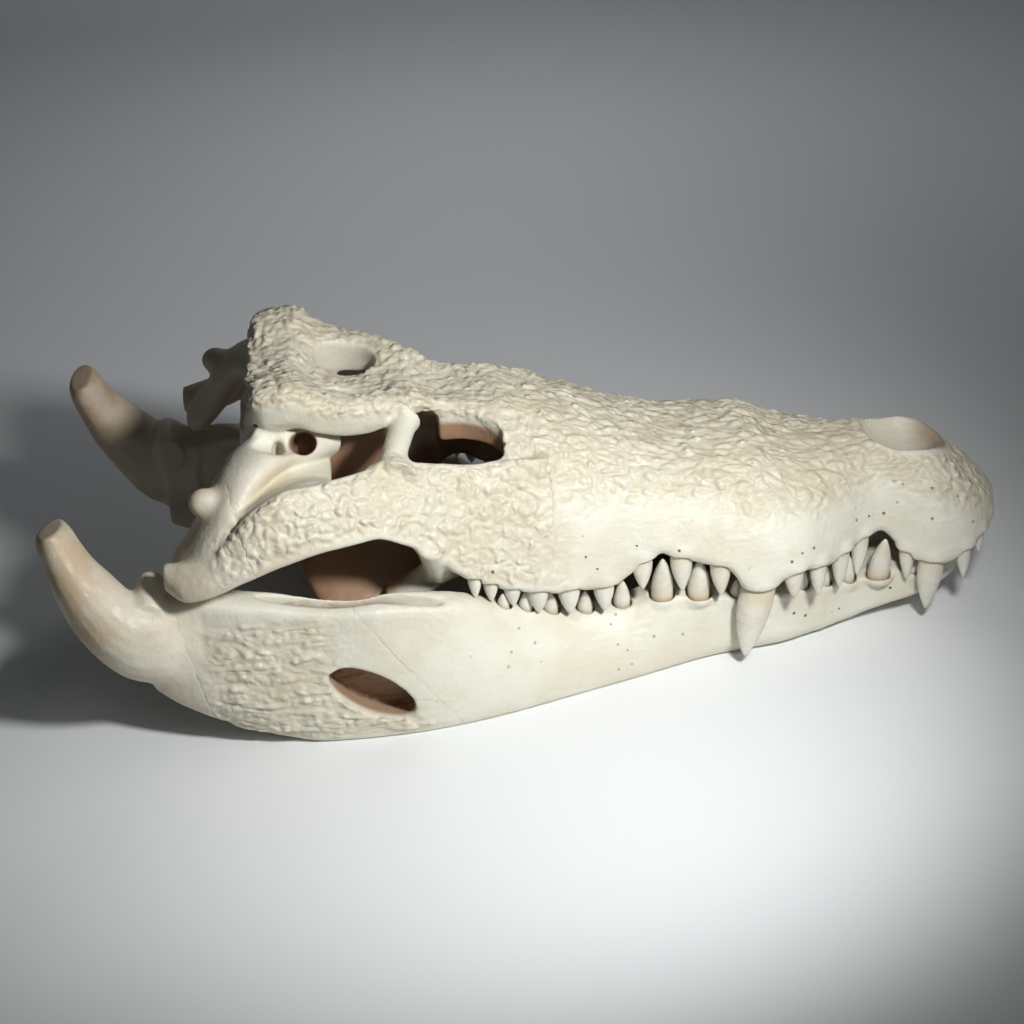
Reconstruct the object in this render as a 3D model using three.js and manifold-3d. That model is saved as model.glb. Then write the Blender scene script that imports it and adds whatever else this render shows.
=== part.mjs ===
// Saltwater crocodile skull: cranium resting on the closed lower jaw, both lying on a flat floor.
// Millimetres. The shapes are laid out with x forward from the jaw joint, y to the left, z up from
// the floor. Pieces are made for the right side, where y is negative, and mirrored.
import * as THREE from "three";
import { mergeVertices } from "three/addons/utils/BufferGeometryUtils.js";
import Module from "manifold-3d";

const wasm = await Module();
wasm.setup();

const SEAM = 0.5; // width of every thin cut between two bones
const LET_IN = 1; // room round a bone that is let into its neighbour
const FINE = 0.6; // facets flatter than this are merged
const BONE = 0xe9e4cf;
const SNOUT_TIP = 604.5;
const JAW_REAR = -76.2; // rear end of the retroarticular process
const MIDDLE = (SNOUT_TIP + JAW_REAR) / 2;

// ---------------------------------------------------------------- helpers

// Piecewise-smooth function of x through [x, value] stations, with no overshoot between them.
function along(...stations) {
  const xs = stations.map((s) => s[0]);
  const vs = stations.map((s) => s[1]);
  const slope = xs.slice(1).map((x, i) => (vs[i + 1] - vs[i]) / (x - xs[i]));
  const tangent = xs.map((_, i) => {
    if (i === 0) return slope[0];
    if (i === xs.length - 1) return slope[i - 1];
    const [a, b] = [slope[i - 1], slope[i]];
    return a * b <= 0 ? 0 : (2 * a * b) / (a + b);
  });
  return (x) => {
    if (x <= xs[0]) return vs[0];
    if (x >= xs[xs.length - 1]) return vs[xs.length - 1];
    const i = xs.findIndex((right) => x < right) - 1;
    const h = xs[i + 1] - xs[i];
    const t = (x - xs[i]) / h;
    const level = vs[i] * (1 + 2 * t) * (1 - t) ** 2 + vs[i + 1] * t * t * (3 - 2 * t);
    return level + h * (tangent[i] * t * (1 - t) ** 2 - tangent[i + 1] * t * t * (1 - t));
  };
}

const range = (n) => [...Array(n).keys()];
const spaced = (from, to, n) => range(n).map((i) => from + ((to - from) * i) / (n - 1));
const unit = (...p) => new THREE.Vector3(...p).normalize().toArray();

// A closed geometry as a manifold solid with its faces pointing out.
function solid(geometry) {
  const bare = geometry.clone();
  bare.deleteAttribute("normal");
  bare.deleteAttribute("uv");
  const merged = mergeVertices(bare, 1e-4);
  const triVerts = new Uint32Array(merged.index.array);
  const vertProperties = merged.attributes.position.array;
  const made = new wasm.Manifold(new wasm.Mesh({ numProp: 3, vertProperties, triVerts }));
  if (made.volume() > 0) return made;
  for (let i = 0; i < triVerts.length; i += 3) triVerts.subarray(i, i + 3).reverse();
  return new wasm.Manifold(new wasm.Mesh({ numProp: 3, vertProperties, triVerts }));
}

// Skin over rings of equal point count, closed by a fan at each end.
function loft(rings) {
  const n = rings[0].length;
  const middle = (ring) => [0, 1, 2].map((k) => ring.reduce((sum, p) => sum + p[k], 0) / n);
  const points = [...rings.flat(), middle(rings[0]), middle(rings[rings.length - 1])];
  const index = [];
  range(rings.length - 1).forEach((r) =>
    range(n).forEach((i) => {
      const [a, b] = [r * n + i, r * n + ((i + 1) % n)];
      index.push(a, b, b + n, a, b + n, a + n);
    }),
  );
  const last = (rings.length - 1) * n;
  range(n).forEach((i) => {
    const j = (i + 1) % n;
    index.push(rings.length * n, j, i, rings.length * n + 1, last + i, last + j);
  });
  const geometry = new THREE.BufferGeometry();
  geometry.setAttribute("position", new THREE.Float32BufferAttribute(points.flat(), 3));
  geometry.setIndex(index);
  return solid(geometry);
}

// Ring across x that is the same on both sides: half goes from the top middle to the bottom middle.
const evenRing = (x, half) => [
  ...half.map(([y, z]) => [x, -y, z]),
  ...half.slice(1, -1).reverse().map(([y, z]) => [x, y, z]),
];

// Elliptical bar along a smooth path; size gives [half across, half deep] at each share of the way.
function bar(path, size, { sides = 8, steps = 6, across = [0, 1, 0] } = {}) {
  const curve = new THREE.CatmullRomCurve3(path.map((p) => new THREE.Vector3(...p)));
  const side = new THREE.Vector3(...across);
  const rings = spaced(0, 1, steps).map((t) => {
    const at = curve.getPoint(t);
    const tangent = curve.getTangent(t);
    const deep = new THREE.Vector3().crossVectors(tangent, side).normalize();
    const wide = new THREE.Vector3().crossVectors(deep, tangent).normalize();
    const [a, b] = size(t);
    return range(sides).map((i) => {
      const angle = (2 * Math.PI * (i + 0.5)) / sides;
      const p = at.clone().addScaledVector(wide, a * Math.cos(angle));
      return p.addScaledVector(deep, b * Math.sin(angle)).toArray();
    });
  });
  return loft(rings);
}

// Ball stretched along the three axes, for basins, condyles and knobs.
function ball([x, y, z], [a, b, c], grain = 8) {
  const geometry = new THREE.SphereGeometry(1, grain, Math.round(grain * 0.6));
  geometry.rotateX(Math.PI / 2).scale(a, b, c).translate(x, y, z);
  return solid(geometry);
}

const box = ([x0, y0, z0], [x1, y1, z1]) => {
  const geometry = new THREE.BoxGeometry(x1 - x0, y1 - y0, z1 - z0);
  return solid(geometry.translate((x0 + x1) / 2, (y0 + y1) / 2, (z0 + z1) / 2));
};

const mirror = (body) => body.mirror([0, 1, 0]);
const both = (body) => body.add(mirror(body));
const union = (bodies) => bodies.reduce((all, body) => all.add(body));
// The right half and its mirror image, so that both sides match to the last facet.
const symmetric = (body) => both(body.trimByPlane([0, -1, 0], 0));

// The part on the side the normal points to, half a seam away from the plane.
const keep = (body, normal, offset) => {
  const size = Math.hypot(...normal);
  return body.trimByPlane(unit(...normal), offset / size + SEAM / 2);
};
const drop = (body, normal, offset) => keep(body, normal.map((n) => -n), -offset);

// ---------------------------------------------------------------- driving sizes of the cranium

// Half width of the snout at the tooth margin, with the notch for the lower fourth tooth at x 509.
const snoutHalf = along(
  [196, 112], [236, 105], [262, 100], [293, 94], [322, 89], [344, 87], [376, 90], [395, 94],
  [412, 97], [430, 95], [448, 89], [464, 79], [480, 65], [495, 52], [509, 46], [521, 48], [535, 55],
  [550, 60], [565, 57], [578, 50], [590, 38], [598, 25], [602, 14], [SNOUT_TIP, 4],
);
// Height of the upper tooth margin: two festoons and the notch.
const marginZ = along(
  [196, 112], [215, 99], [236, 89], [262, 81], [293, 76], [308, 75], [322, 83], [344, 97], [360, 91],
  [376, 87], [392, 82], [401, 69], [412, 64], [427, 70], [448, 75], [464, 70], [480, 72], [501, 75],
  [509, 78], [521, 67], [535, 55], [553, 53], [576, 61], [591, 68], [SNOUT_TIP, 74],
);
// Height of the snout roof on the midline.
const roofZ = along(
  [196, 199], [236, 197], [257, 191], [285, 183], [313, 172], [342, 161], [371, 155], [411, 154],
  [443, 142], [473, 138], [530, 139], [547, 134], [570, 117], [589, 100], [600, 87], [SNOUT_TIP, 79],
);
// Skull roof behind the snout: half width, rim height, midline height, rim depth and underside.
const roofHalf = along(
  [66, 58], [71, 70], [80, 75], [92, 75], [110, 72], [130, 66], [158, 58], [172, 50], [180, 45.5],
  [190, 41], [201, 37.4], [214, 36], [240, 37.4],
);
const rimZ = along(
  [66, 228], [74, 239], [98, 240], [115, 230], [131, 223], [160, 217], [180, 212], [200, 202],
  [230, 198], [266, 189],
);
const midZ = along(
  [66, 224], [95, 227], [115, 213], [145, 207], [165, 208], [185, 203], [205, 196], [240, 194],
  [266, 189],
);
const rimDepth = along([72, 26], [90, 36], [115, 30], [145, 27], [175, 16], [195, 11], [266, 12]);
const roofThick = along([72, 34], [110, 24], [150, 18], [240, 16]);
const underZ = (x) => midZ(x) - roofThick(x);
// Cheek bar: top and bottom edges and thickness of the jugal and quadratojugal.
const cheekTopY = along(
  [6, 136], [34, 143], [64, 139], [91, 132], [114, 122], [128, 114], [155, 98], [168, 92], [209, 84],
  [235, 77], [270, 72],
);
const cheekTopZ = along(
  [6, 148], [20, 150], [34, 153], [48, 164], [64, 180], [79, 189], [91, 193], [114, 191], [155, 188],
  [168, 186], [209, 176.5], [222, 174], [270, 172],
);
const cheekLowY = along(
  [6, 140], [20, 152], [35, 154], [60, 152], [89, 147], [118, 140], [145, 130], [166, 120],
  [184, 114], [215, 107], [236, 105], [270, 100],
);
const cheekLowZ = along(
  [6, 131], [20, 127.5], [35, 130], [60, 139], [89, 147], [118, 151], [145, 151], [166, 139],
  [184, 126], [201, 109], [215, 99], [236, 89], [270, 80],
);
const cheekThick = along([6, 12], [40, 18], [90, 15], [150, 13], [200, 18], [270, 26]);

// Seams of the cranium as a normal and an offset.
const REAR_SEAM = [[1, 0, -0.73], 127]; // maxilla to the bones behind it
const PREMAX_SEAM = [[1, 0, 0.4], 540];
const NASAL_SEAM = [[0, 1, 0.42], 47]; // one side of the wedge of the nasals
const FRONTAL_X = 158; // parietal to frontal
const SQUAMOSAL_X = 128; // squamosal to postorbital
const QUADRATOJUGAL_SEAM = [[1, 0, 0.3], 110];
const STRIP = 37.7; // half width of the middle strip of the skull roof
const LACRIMAL_Z = 176;
const BAR_SEAM_Z = 190; // postorbital to jugal, in the bar behind the eye

// ---------------------------------------------------------------- cranium

// Cross-section of the snout as [share of half width, share of height below the roof].
const SNOUT_SECTION = [[0, 0], [0.26, 0.014], [0.5, 0.085], [0.72, 0.26], [0.88, 0.52], [0.975, 0.8]];

function snoutRing(x) {
  const [w, low, top] = [snoutHalf(x), marginZ(x), roofZ(x)];
  const h = top - low;
  const side = SNOUT_SECTION.map(([a, b]) => [a * w, top - b * h]);
  const margin = [[w, low + 0.04 * h], [0.93 * w, low - 2.5], [0.74 * w, low + 5]];
  return evenRing(x, [...side, ...margin, [0, low + 9]]);
}

const snoutWhole = () => {
  const behindNotch = [196, 236, 262, 285, 308, 325, 344, 362, 384, 400, 412, 430, 452, 476];
  const beyond = [495, 509, 521, 535, 550, 566, 580, 592, 600, SNOUT_TIP];
  return loft([...behindNotch, ...beyond].map(snoutRing));
};

// Space under the skull roof that the eye sockets open into, and the palate opening below it.
const eyeSpace = () => {
  const shaft = [[206, -60, 70], [206, -60, 130], [206, -58, 240]];
  const socket = bar(shaft, (t) => [22 + 2 * t, 33 + t], { sides: 12, steps: 3 });
  const hollow = bar([[160, 0, 140], [262, 0, 136]], () => [74, 38], { steps: 2 });
  return both(socket).add(hollow).add(box([150, -52, 60], [262, 52, 172]));
};

function roofRing(x) {
  const [w, rim, mid, deep, low] = [roofHalf, rimZ, midZ, rimDepth, underZ].map((f) => f(x));
  return evenRing(x, [
    [0, mid], [0.35 * w, mid + 0.3 * (rim - mid)], [0.62 * w, mid + 0.85 * (rim - mid)],
    [0.86 * w, rim], [w, rim - 4], [0.98 * w, rim - 0.7 * deep], [0.9 * w, rim - deep],
    [0.75 * w, Math.max(rim - deep + 3, low)], [0.5 * w, low], [0, low],
  ]);
}

// Supratemporal opening: a slanting oval shaft through the table.
const templeHole = () =>
  bar([[134, -26, 160], [134, -27, 205], [133, -27, 250]], (t) => [14 + 2 * t, 20 + 3 * t], {
    sides: 10,
    steps: 2,
  });

const skullRoof = () => {
  const stations = [66, 71, 80, 98, 115, 140, 160, 180, 190, 199, 232, 268];
  return loft(stations.map(roofRing)).subtract(both(templeHole()));
};

function cheekRing(x) {
  const [ty, tz, ly, lz, thick] = [cheekTopY, cheekTopZ, cheekLowY, cheekLowZ, cheekThick].map((f) => f(x));
  const at = (t, out) => [x, -(ty + (ly - ty) * t + out), tz + (lz - tz) * t + 0.3 * out];
  return [
    at(0, 0), at(0.3, 4.5), at(0.7, 4.5), at(1, -1),
    at(0.98, -0.7 * thick), at(0.7, -thick), at(0.3, -thick), at(0.04, -0.7 * thick),
  ];
}

const cheek = () => loft([6, 20, 44, 66, 90, 118, 148, 168, 188, 210, 236, 270].map(cheekRing));

// Upright bar between the eye socket and the temple opening.
const eyeBar = () => {
  const path = [[178, -46, 199], [173, -58, 196], [166, -76, 190], [162, -93, 178]];
  const flare = (t) => 1 + (t < 0.5 ? 0.35 : 1.1) * (2 * t - 1) ** 4;
  return bar(path, (t) => [9 * flare(t), 9.5 * flare(t)], { across: [1, 0, 0] });
};

// Quadrate: a broad strut from the ear region back and out to the jaw joint.
function quadrateRings(grow) {
  const stations = [
    // centre, half width towards the cheek, half thickness
    [[116, -32, 182], 20, 15], [[96, -49, 187], 24, 14], [[79, -71, 192], 22, 13],
    [[65, -91, 189], 21, 13], [[51, -105, 176], 24, 13], [[41, -113, 161], 26, 12],
    [[30, -117, 146], 27, 11], [[19, -118, 134], 26, 10.5], [[14, -118, 128], 21, 7],
  ];
  const vector = (p) => new THREE.Vector3(...p);
  const last = stations.length - 1;
  return stations.map(([centre, wide, thick], i) => {
    const ahead = vector(stations[Math.min(i + 1, last)][0]);
    const run = ahead.sub(vector(stations[Math.max(i - 1, 0)][0])).normalize();
    const side = vector(unit(0.42, -0.9, 0.12)).lerp(vector([0.1, -1, 0]), i / last);
    side.addScaledVector(run, -side.dot(run)).normalize();
    const up = new THREE.Vector3().crossVectors(side, run).normalize();
    return range(8).map((k) => {
      const angle = (Math.PI * (k + 0.5)) / 4;
      const p = vector(centre).addScaledVector(side, 1.03 * (wide + grow) * Math.cos(angle));
      return p.addScaledVector(up, 1.03 * (thick + grow) * Math.sin(angle)).toArray();
    });
  });
}

// Plate that closes the space between the strut of the quadrate and the cheek bar.
const PLATE = [
  // x, inner edge, outer edge
  [54, [-97, 179], [-131, 170]], [80, [-72, 184], [-128, 183]], [104, [-51, 175], [-118, 186]],
  [120, [-46, 166], [-110, 182]],
];

const quadratePlate = (grow) => {
  const half = 3.5 + grow;
  return loft(PLATE.map(([at, [y0, z0], [y1, z1]], i) => {
    const x = at + (i === PLATE.length - 1 ? grow : 0);
    const [yi, yo, ym, zm] = [y0 + grow, y1 - grow, 0.45 * y0 + 0.55 * y1, 0.45 * z0 + 0.55 * z1 - 4];
    return [
      [x, yi, z0 + half], [x, ym, zm + half], [x, yo, z1 + half],
      [x, yo, z1 - half], [x, ym, zm - half], [x, yi, z0 - half],
    ];
  }));
};

const quadrate = (grow = 0) => {
  const knob = ball([36, -113, 180], [11 + grow, 10 + grow, 10 + grow]);
  return union([loft(quadrateRings(grow)), knob, quadratePlate(grow)]);
};

// Braincase with the occipital condyle and the spinal opening.
const caseHalf = along([58, 24], [70, 34], [95, 30], [120, 22], [170, 15]);
const caseLow = along([58, 140], [66, 118], [80, 104], [105, 104], [130, 120], [170, 150]);

function braincase(grow = 0) {
  const rings = spaced(58, 170, 6).map((x) => {
    const [w, low] = [caseHalf(x) + grow, caseLow(x) - grow];
    const top = underZ(Math.max(x, 66)) - SEAM;
    const h = top - low;
    const flank = [[w, top], [w, top - 0.35 * h], [0.72 * w, low + 0.25 * h], [0.6 * w, low + 3]];
    return evenRing(x, [[0, top], ...flank, [0, low]]);
  });
  const wingPath = [[70, -20, 190], [72, -48, 192], [76, -70, 198]];
  const wing = bar(wingPath, (t) => [17 - 5 * t + grow, 8 - t + grow], { steps: 3, across: [0, 0, 1] });
  const body = symmetric(loft(rings)).add(both(wing));
  if (grow) return body;
  const condyle = ball([55, 0, 148], [12, 13, 12]);
  const spinalOpening = ball([52, 0, 172], [26, 11, 9]);
  return body.add(condyle).subtract(spinalOpening);
}

// Pterygoid: wings that spread from the braincase floor to the flanges inside the lower jaw.
function pterygoid() {
  const rings = spaced(-84, 84, 7).map((y) => {
    const out = Math.abs(y) / 84;
    const [front, back] = [196 - 34 * out ** 1.5, 84 + 26 * out * out];
    const [mid, tilt, t] = [104 - 44 * out ** 1.6, 10 - 16 * out, 8 - 3 * out];
    return [
      [back, y, mid - tilt - t * 0.5], [back + 12, y, mid - tilt - t], [front - 12, y, mid + tilt - t],
      [front, y, mid + tilt], [front - 12, y, mid + tilt + t], [back + 12, y, mid - tilt + t],
      [back, y, mid - tilt + t * 0.5],
    ];
  });
  return symmetric(loft(rings));
}

// Ectopterygoid: strut from the cheek down to the pterygoid flange.
const ectopterygoid = (grow = 0) => {
  const path = [[212, -92, 112], [196, -88, 103], [178, -80, 88], [160, -76, 70]];
  const flare = (t) => 5 * (2 * t - 1) ** 2 + grow;
  const strut = bar(path, (t) => [8 + flare(t), 10 + flare(t)]);
  const footPath = [[186, -86, 98], [186, -98, 116], [184, -108, 134]];
  const footSize = (t) => [8 + 3 * t + grow, 10 + 4 * t + grow];
  return strut.add(bar(footPath, footSize, { steps: 3, across: [1, 0, 0] }));
};

// Palatine bar along the middle of the palate.
const palatineHalf = along([182, 30], [230, 22], [290, 26], [330, 16]);
const palatineLow = along([182, 96], [240, 88], [330, 88]);
const palatineTop = along([182, 114], [240, 108], [330, 100]);

const palatine = (grow = 0) => {
  const [rear, front] = [182 - grow, 330 + grow];
  return symmetric(loft(spaced(rear, front, 5).map((x) => {
    const [w, low, top] = [palatineHalf(x) + grow, palatineLow(x) - grow, palatineTop(x) + grow];
    return evenRing(x, [[0, top], [0.6 * w, top - 1], [w, (low + top) / 2], [0.6 * w, low + 1], [0, low]]);
  })));
};

// ---------------------------------------------------------------- teeth

// One tooth: a slightly hooked cone from inside the socket to the tip.
function tooth([x, y, z], [dx, dy, dz], length, radius) {
  const SOCKET = 6;
  const tip = new THREE.Vector3(dx, dy, dz).normalize();
  const root = new THREE.Vector3(x, y, z).addScaledVector(tip, -SOCKET);
  const side = new THREE.Vector3(1, 0, 0).cross(tip).normalize();
  const front = new THREE.Vector3().crossVectors(tip, side).normalize();
  const taper = length > 25 ? [[0, 1], [0.62, 0.86], [1, 0.2]] : [[0, 1.05], [1, 0.3]];
  const sides = length > 26 ? 5 : 4;
  const hooked = -0.1 * length * Math.sign(y) * Math.sign(dz);
  return loft(taper.map(([t, r]) => range(sides).map((k) => {
    const angle = (2 * Math.PI * (k + 0.25)) / sides;
    const p = root.clone().addScaledVector(tip, t * (length + SOCKET));
    p.addScaledVector(side, hooked * t * t + 0.85 * radius * r * Math.sin(angle));
    return p.addScaledVector(front, radius * r * Math.cos(angle)).toArray();
  })));
}

// Upper teeth: x, length, radius, sweep of the tip along x.
const MAXILLA_TEETH = [
  [212, 17, 5, 0], [223, 16, 5.5, 0], [238, 17, 6.5, 0], [256, 21, 8, 0], [278, 22, 8, 0],
  [303, 22, 7.5, 0], [331, 24, 7.5, 0], [359, 29, 8, 0], [386, 26, 7.4, 0], [414, 57, 12.5, -0.22],
  [438, 22, 7, 0], [457, 25, 6.2, 0], [477, 29, 6.5, -0.05], [495, 32, 6.2, -0.1],
];
const PREMAX_TEETH = [
  [529, 24, 5.5, 0], [547, 41, 9.6, -0.12], [570, 24, 5.5, 0], [583, 16, 4.5, 0.05], [594, 12, 3.8, 0.2],
];
// Lower teeth: x, length, radius, sweep, extra offset outwards.
const DENTARY_TEETH = [
  [231, 11, 4.6, 0, 0], [247, 15, 5, 0, 0], [265, 17, 5.5, 0, 0], [290, 18, 5.5, 0, 0],
  [317, 23, 6, 0, 0], [346, 34, 8, 0, 1], [372, 32, 8, 0, 1], [400, 15, 5, 0, 0], [449, 17, 5, 0, 0],
  [467, 19, 5.2, 0, 0], [486, 22, 5.5, 0, 1], [509, 33, 8, 0.1, 5], [536, 13, 5, 0.05, 2],
  [554, 14, 4.5, 0.1, -8], [570, 12, 4, 0.1, -7],
];

const upperTeeth = (list) =>
  list.map(([x, length, radius, sweep]) => {
    const inset = radius + (x > 570 ? 3 : 0.8);
    const setBack = x > 585 ? 3 : 0;
    const at = [x - setBack, inset - snoutHalf(x), marginZ(x) + 1];
    return tooth(at, [sweep, -0.06, -1], length, radius);
  });

// ---------------------------------------------------------------- lower jaw

// Half width over the belly of the ramus, half width along the top edge, inner face, top and bottom.
const jawOutY = along(
  [-12, 130], [0, 135], [30, 142], [60, 146], [100, 147], [133, 146], [165, 144], [208, 136],
  [250, 123], [290, 109], [326, 97], [356, 87], [380, 80], [396, 77], [430, 73], [451, 66], [470, 58],
  [488, 50], [510, 46], [541, 42], [560, 34], [572, 25], [580, 15], [584, 6],
);
const jawEdgeY = along(
  [-12, 127], [0, 131], [60, 138], [133, 138], [186, 126], [208, 116], [232, 102], [262, 90],
  [290, 83], [326, 77], [345, 77], [372, 78], [396, 74], [430, 71], [451, 63], [470, 55], [488, 48],
  [510, 44], [541, 40], [560, 33], [572, 24], [580, 14], [584, 5],
);
const jawInY = along(
  [-12, 96], [60, 112], [133, 111], [208, 96], [266, 72], [326, 52], [396, 32], [440, 15], [470, 3],
  [476, 0], [584, 0],
);
const jawTopZ = along(
  [-12, 118], [0, 117], [28, 115.5], [61, 111], [122, 101], [140, 101], [163, 98], [202, 88],
  [232, 72], [262, 58], [290, 51], [320, 50], [345, 55], [372, 54], [400, 47], [425, 45], [450, 44],
  [480, 39], [500, 38], [515, 41], [545, 37], [570, 38], [584, 39],
);
const jawLowZ = along(
  [-12, 44], [3, 34], [18, 26], [41, 15], [68, 5.5], [92, 1], [104, 0], [330, 0], [482, 0], [500, 4],
  [520, 8.5],
  [541, 14], [560, 20], [575, 27], [584, 33],
);
// How far the outer face is tucked in at the bottom.
const jawTuck = along(
  [-12, 5], [60, 8], [133, 3], [320, 2], [380, 5], [430, 9], [488, 12], [541, 12], [572, 8], [584, 2],
);

function jawRing(x, inner) {
  const [out, edge, low, top, tuck] = [jawOutY, jawEdgeY, jawLowZ, jawTopZ, jawTuck].map((f) => f(x));
  const h = top - low;
  const foot = Math.max(inner + 7, out - tuck - 12);
  return [
    [x, -edge, top], [x, -(edge + 0.6 * (out - edge)), low + 0.66 * h], [x, -out, low + 0.25 * h],
    [x, -(out - tuck - 3), low], [x, -foot, low],
    [x, -inner, low + 0.12 * h + 2], [x, -inner, top - 0.1 * h], [x, -(inner + 3), top],
  ];
}

const CHIN_X = 466; // the two halves meet in front of this
const RAMUS_STATIONS = [-12, 12, 40, 72, 104, 140, 170, 202, 232, 262, 298, 330, 362, 396, 430, CHIN_X];
const CHIN_STATIONS = [CHIN_X, 484, 510, 541, 562, 577, 584];
const PAST_MIDDLE = -7;

const jawBody = () => {
  const ramus = loft(RAMUS_STATIONS.map((x) => jawRing(x, jawInY(x))));
  const chin = loft(CHIN_STATIONS.map((x) => jawRing(x, PAST_MIDDLE)));
  return drop(ramus.add(chin), [0, 1, 0], 0);
};

// External mandibular opening: a lens sloping down forwards, closed by the inner wall behind it.
const WINDOW_FLOOR_Y = -123;
const jawWindow = () =>
  bar([[0, -175, 0], [0, WINDOW_FLOOR_Y, 0]], () => [1, 1], { steps: 2, across: [1, 0, 0] })
    .scale([33, 1, 15])
    .rotate([0, 34, 0])
    .translate([136, 0, 38]);

// Retroarticular process: a hook that curves up behind the joint.
const hook = () => {
  const path = [
    [16, -120, 86], [-10, -127, 88], [-31, -131, 103], [-49, -126, 129], [-61, -120, 153], [-68, -117, 174],
  ];
  const wide = along([0, 19], [0.25, 24], [0.5, 23], [1, 18]);
  const deep = along([0, 35], [0.2, 33], [0.4, 25], [0.55, 21], [0.75, 15], [0.93, 12.5], [1, 9]);
  return bar(path, (t) => [wide(t), deep(t)], { steps: 7 });
};

// Raised lip behind the jaw joint.
const jointLip = () => {
  const path = [[-8, -138, 111], [-8, -118, 114], [-8, -98, 114]];
  return bar(path, (t) => [12, 19 - 6 * (2 * t - 1) ** 2], { steps: 4, across: [1, 0, 0] });
};

const TOOTH_INSET = 6;
const lowerTeeth = () =>
  DENTARY_TEETH.map(([x, length, radius, sweep, out]) => {
    const at = [x, TOOTH_INSET - out - jawEdgeY(x), jawTopZ(x) - 1];
    return tooth(at, [sweep, -0.08, 1], length, radius);
  });

// Seams of the lower jaw: behind the tooth bone, between surangular and angular, ahead of the joint.
const DENTARY_SEAM = [[1, 0, 0.7], 200];
const ANGULAR_SEAM = [[0.3, 0, 1], 80];
const ARTICULAR_SEAM = [[1, 0, 0.2], 32];

// ---------------------------------------------------------------- parting into bones

const root = new THREE.Group();
root.name = "crocodile_skull";

function place(name, body) {
  const { vertProperties, triVerts } = body.translate([-MIDDLE, 0, 0]).getMesh();
  const geometry = new THREE.BufferGeometry();
  geometry.setAttribute("position", new THREE.BufferAttribute(new Float32Array(vertProperties), 3));
  geometry.setIndex(new THREE.BufferAttribute(triVerts, 1));
  const material = new THREE.MeshStandardMaterial({ color: BONE, roughness: 0.75, metalness: 0 });
  material.name = "bone";
  const mesh = new THREE.Mesh(geometry.toNonIndexed(), material);
  mesh.geometry.computeVertexNormals();
  mesh.name = name;
  root.add(mesh);
}

const placeMiddle = (name, body) => place(name, body.simplify(FINE));

const placePair = (name, body) => {
  const right = body.simplify(FINE);
  place(name + "_right", right);
  place(name + "_left", mirror(right));
};

function buildSnout(shell) {
  const nostril = ball([536, 0, 141], [33, 29, 25], 8);
  const snout = keep(shell, ...REAR_SEAM).subtract(palatine(LET_IN)).subtract(nostril);
  const tip = drop(keep(snout, ...PREMAX_SEAM), [0, 1, 0], 0);
  placePair("premaxilla", union([tip, ...upperTeeth(PREMAX_TEETH)]));
  const body = drop(snout, ...PREMAX_SEAM);
  const [[, slant, rise], offset] = NASAL_SEAM;
  placeMiddle("nasals", keep(keep(body, ...NASAL_SEAM), [0, -slant, rise], offset));
  const flank = drop(drop(body, [0, 1, 0], 0), ...NASAL_SEAM);
  placePair("maxilla", union([flank, ...upperTeeth(MAXILLA_TEETH)]).subtract(ectopterygoid(LET_IN)));
}

function buildTable() {
  const whole = symmetric(drop(skullRoof(), ...REAR_SEAM));
  const table = whole.subtract(both(quadrate(LET_IN))).subtract(braincase(LET_IN));
  const strip = drop(keep(table, [0, 1, 0], -STRIP), [0, 1, 0], STRIP);
  placeMiddle("parietal", drop(strip, [1, 0, 0], FRONTAL_X));
  placeMiddle("frontal", keep(strip, [1, 0, 0], FRONTAL_X));
  const side = drop(table, [0, 1, 0], -STRIP);
  placePair("squamosal", drop(side, [1, 0, 0], SQUAMOSAL_X));
  const upperBar = keep(eyeBar(), [0, 0, 1], BAR_SEAM_Z);
  placePair("postorbital", keep(side, [1, 0, 0], SQUAMOSAL_X).add(upperBar));
}

function buildCheek(shell) {
  const block = drop(shell, ...REAR_SEAM);
  placePair("lacrimal", drop(keep(block, [0, 0, 1], LACRIMAL_Z), [0, 1, 0], -STRIP));
  const lowBlock = drop(drop(block, [0, 0, 1], LACRIMAL_Z), [0, 1, 0], -55);
  const lowerBar = drop(eyeBar(), [0, 0, 1], BAR_SEAM_Z);
  const arch = union([drop(cheek(), ...REAR_SEAM), lowBlock, lowerBar]);
  const fitted = arch.subtract(quadrate(LET_IN)).subtract(ectopterygoid(LET_IN));
  placePair("jugal", keep(fitted, ...QUADRATOJUGAL_SEAM));
  placePair("quadratojugal", drop(fitted, ...QUADRATOJUGAL_SEAM));
}

function buildJaw() {
  const jaw = union([jawBody().subtract(jawWindow()), hook(), jointLip()]);
  placePair("dentary", union([keep(jaw, ...DENTARY_SEAM), ...lowerTeeth()]));
  const back = drop(jaw, ...DENTARY_SEAM);
  placePair("articular", drop(back, ...ARTICULAR_SEAM));
  const middle = keep(back, ...ARTICULAR_SEAM);
  placePair("surangular", keep(middle, ...ANGULAR_SEAM));
  placePair("angular", drop(middle, ...ANGULAR_SEAM));
}

const shell = snoutWhole().subtract(eyeSpace());
buildSnout(shell);
buildTable();
buildCheek(shell);
placePair("quadrate", quadrate());
placeMiddle("braincase", braincase().subtract(both(quadrate(LET_IN))));
const roundPterygoid = union([palatine(LET_IN), both(ectopterygoid(LET_IN)), braincase(LET_IN)]);
placeMiddle("pterygoid", pterygoid().subtract(roundPterygoid));
placePair("ectopterygoid", ectopterygoid());
placeMiddle("palatines", palatine());
buildJaw();

export default root;
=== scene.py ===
# Saltwater crocodile skull: the look of every surface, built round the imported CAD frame.
# Shapes are laid out in millimetres, x forward from the jaw joint, y to the animal's left and z up
# from the floor. They are made for the right side, where y is negative. place() puts them in the
# row frame, in metres.
import math

import bpy
import numpy as np
import openvdb as vdb
from mathutils import Matrix, Vector, noise


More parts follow.
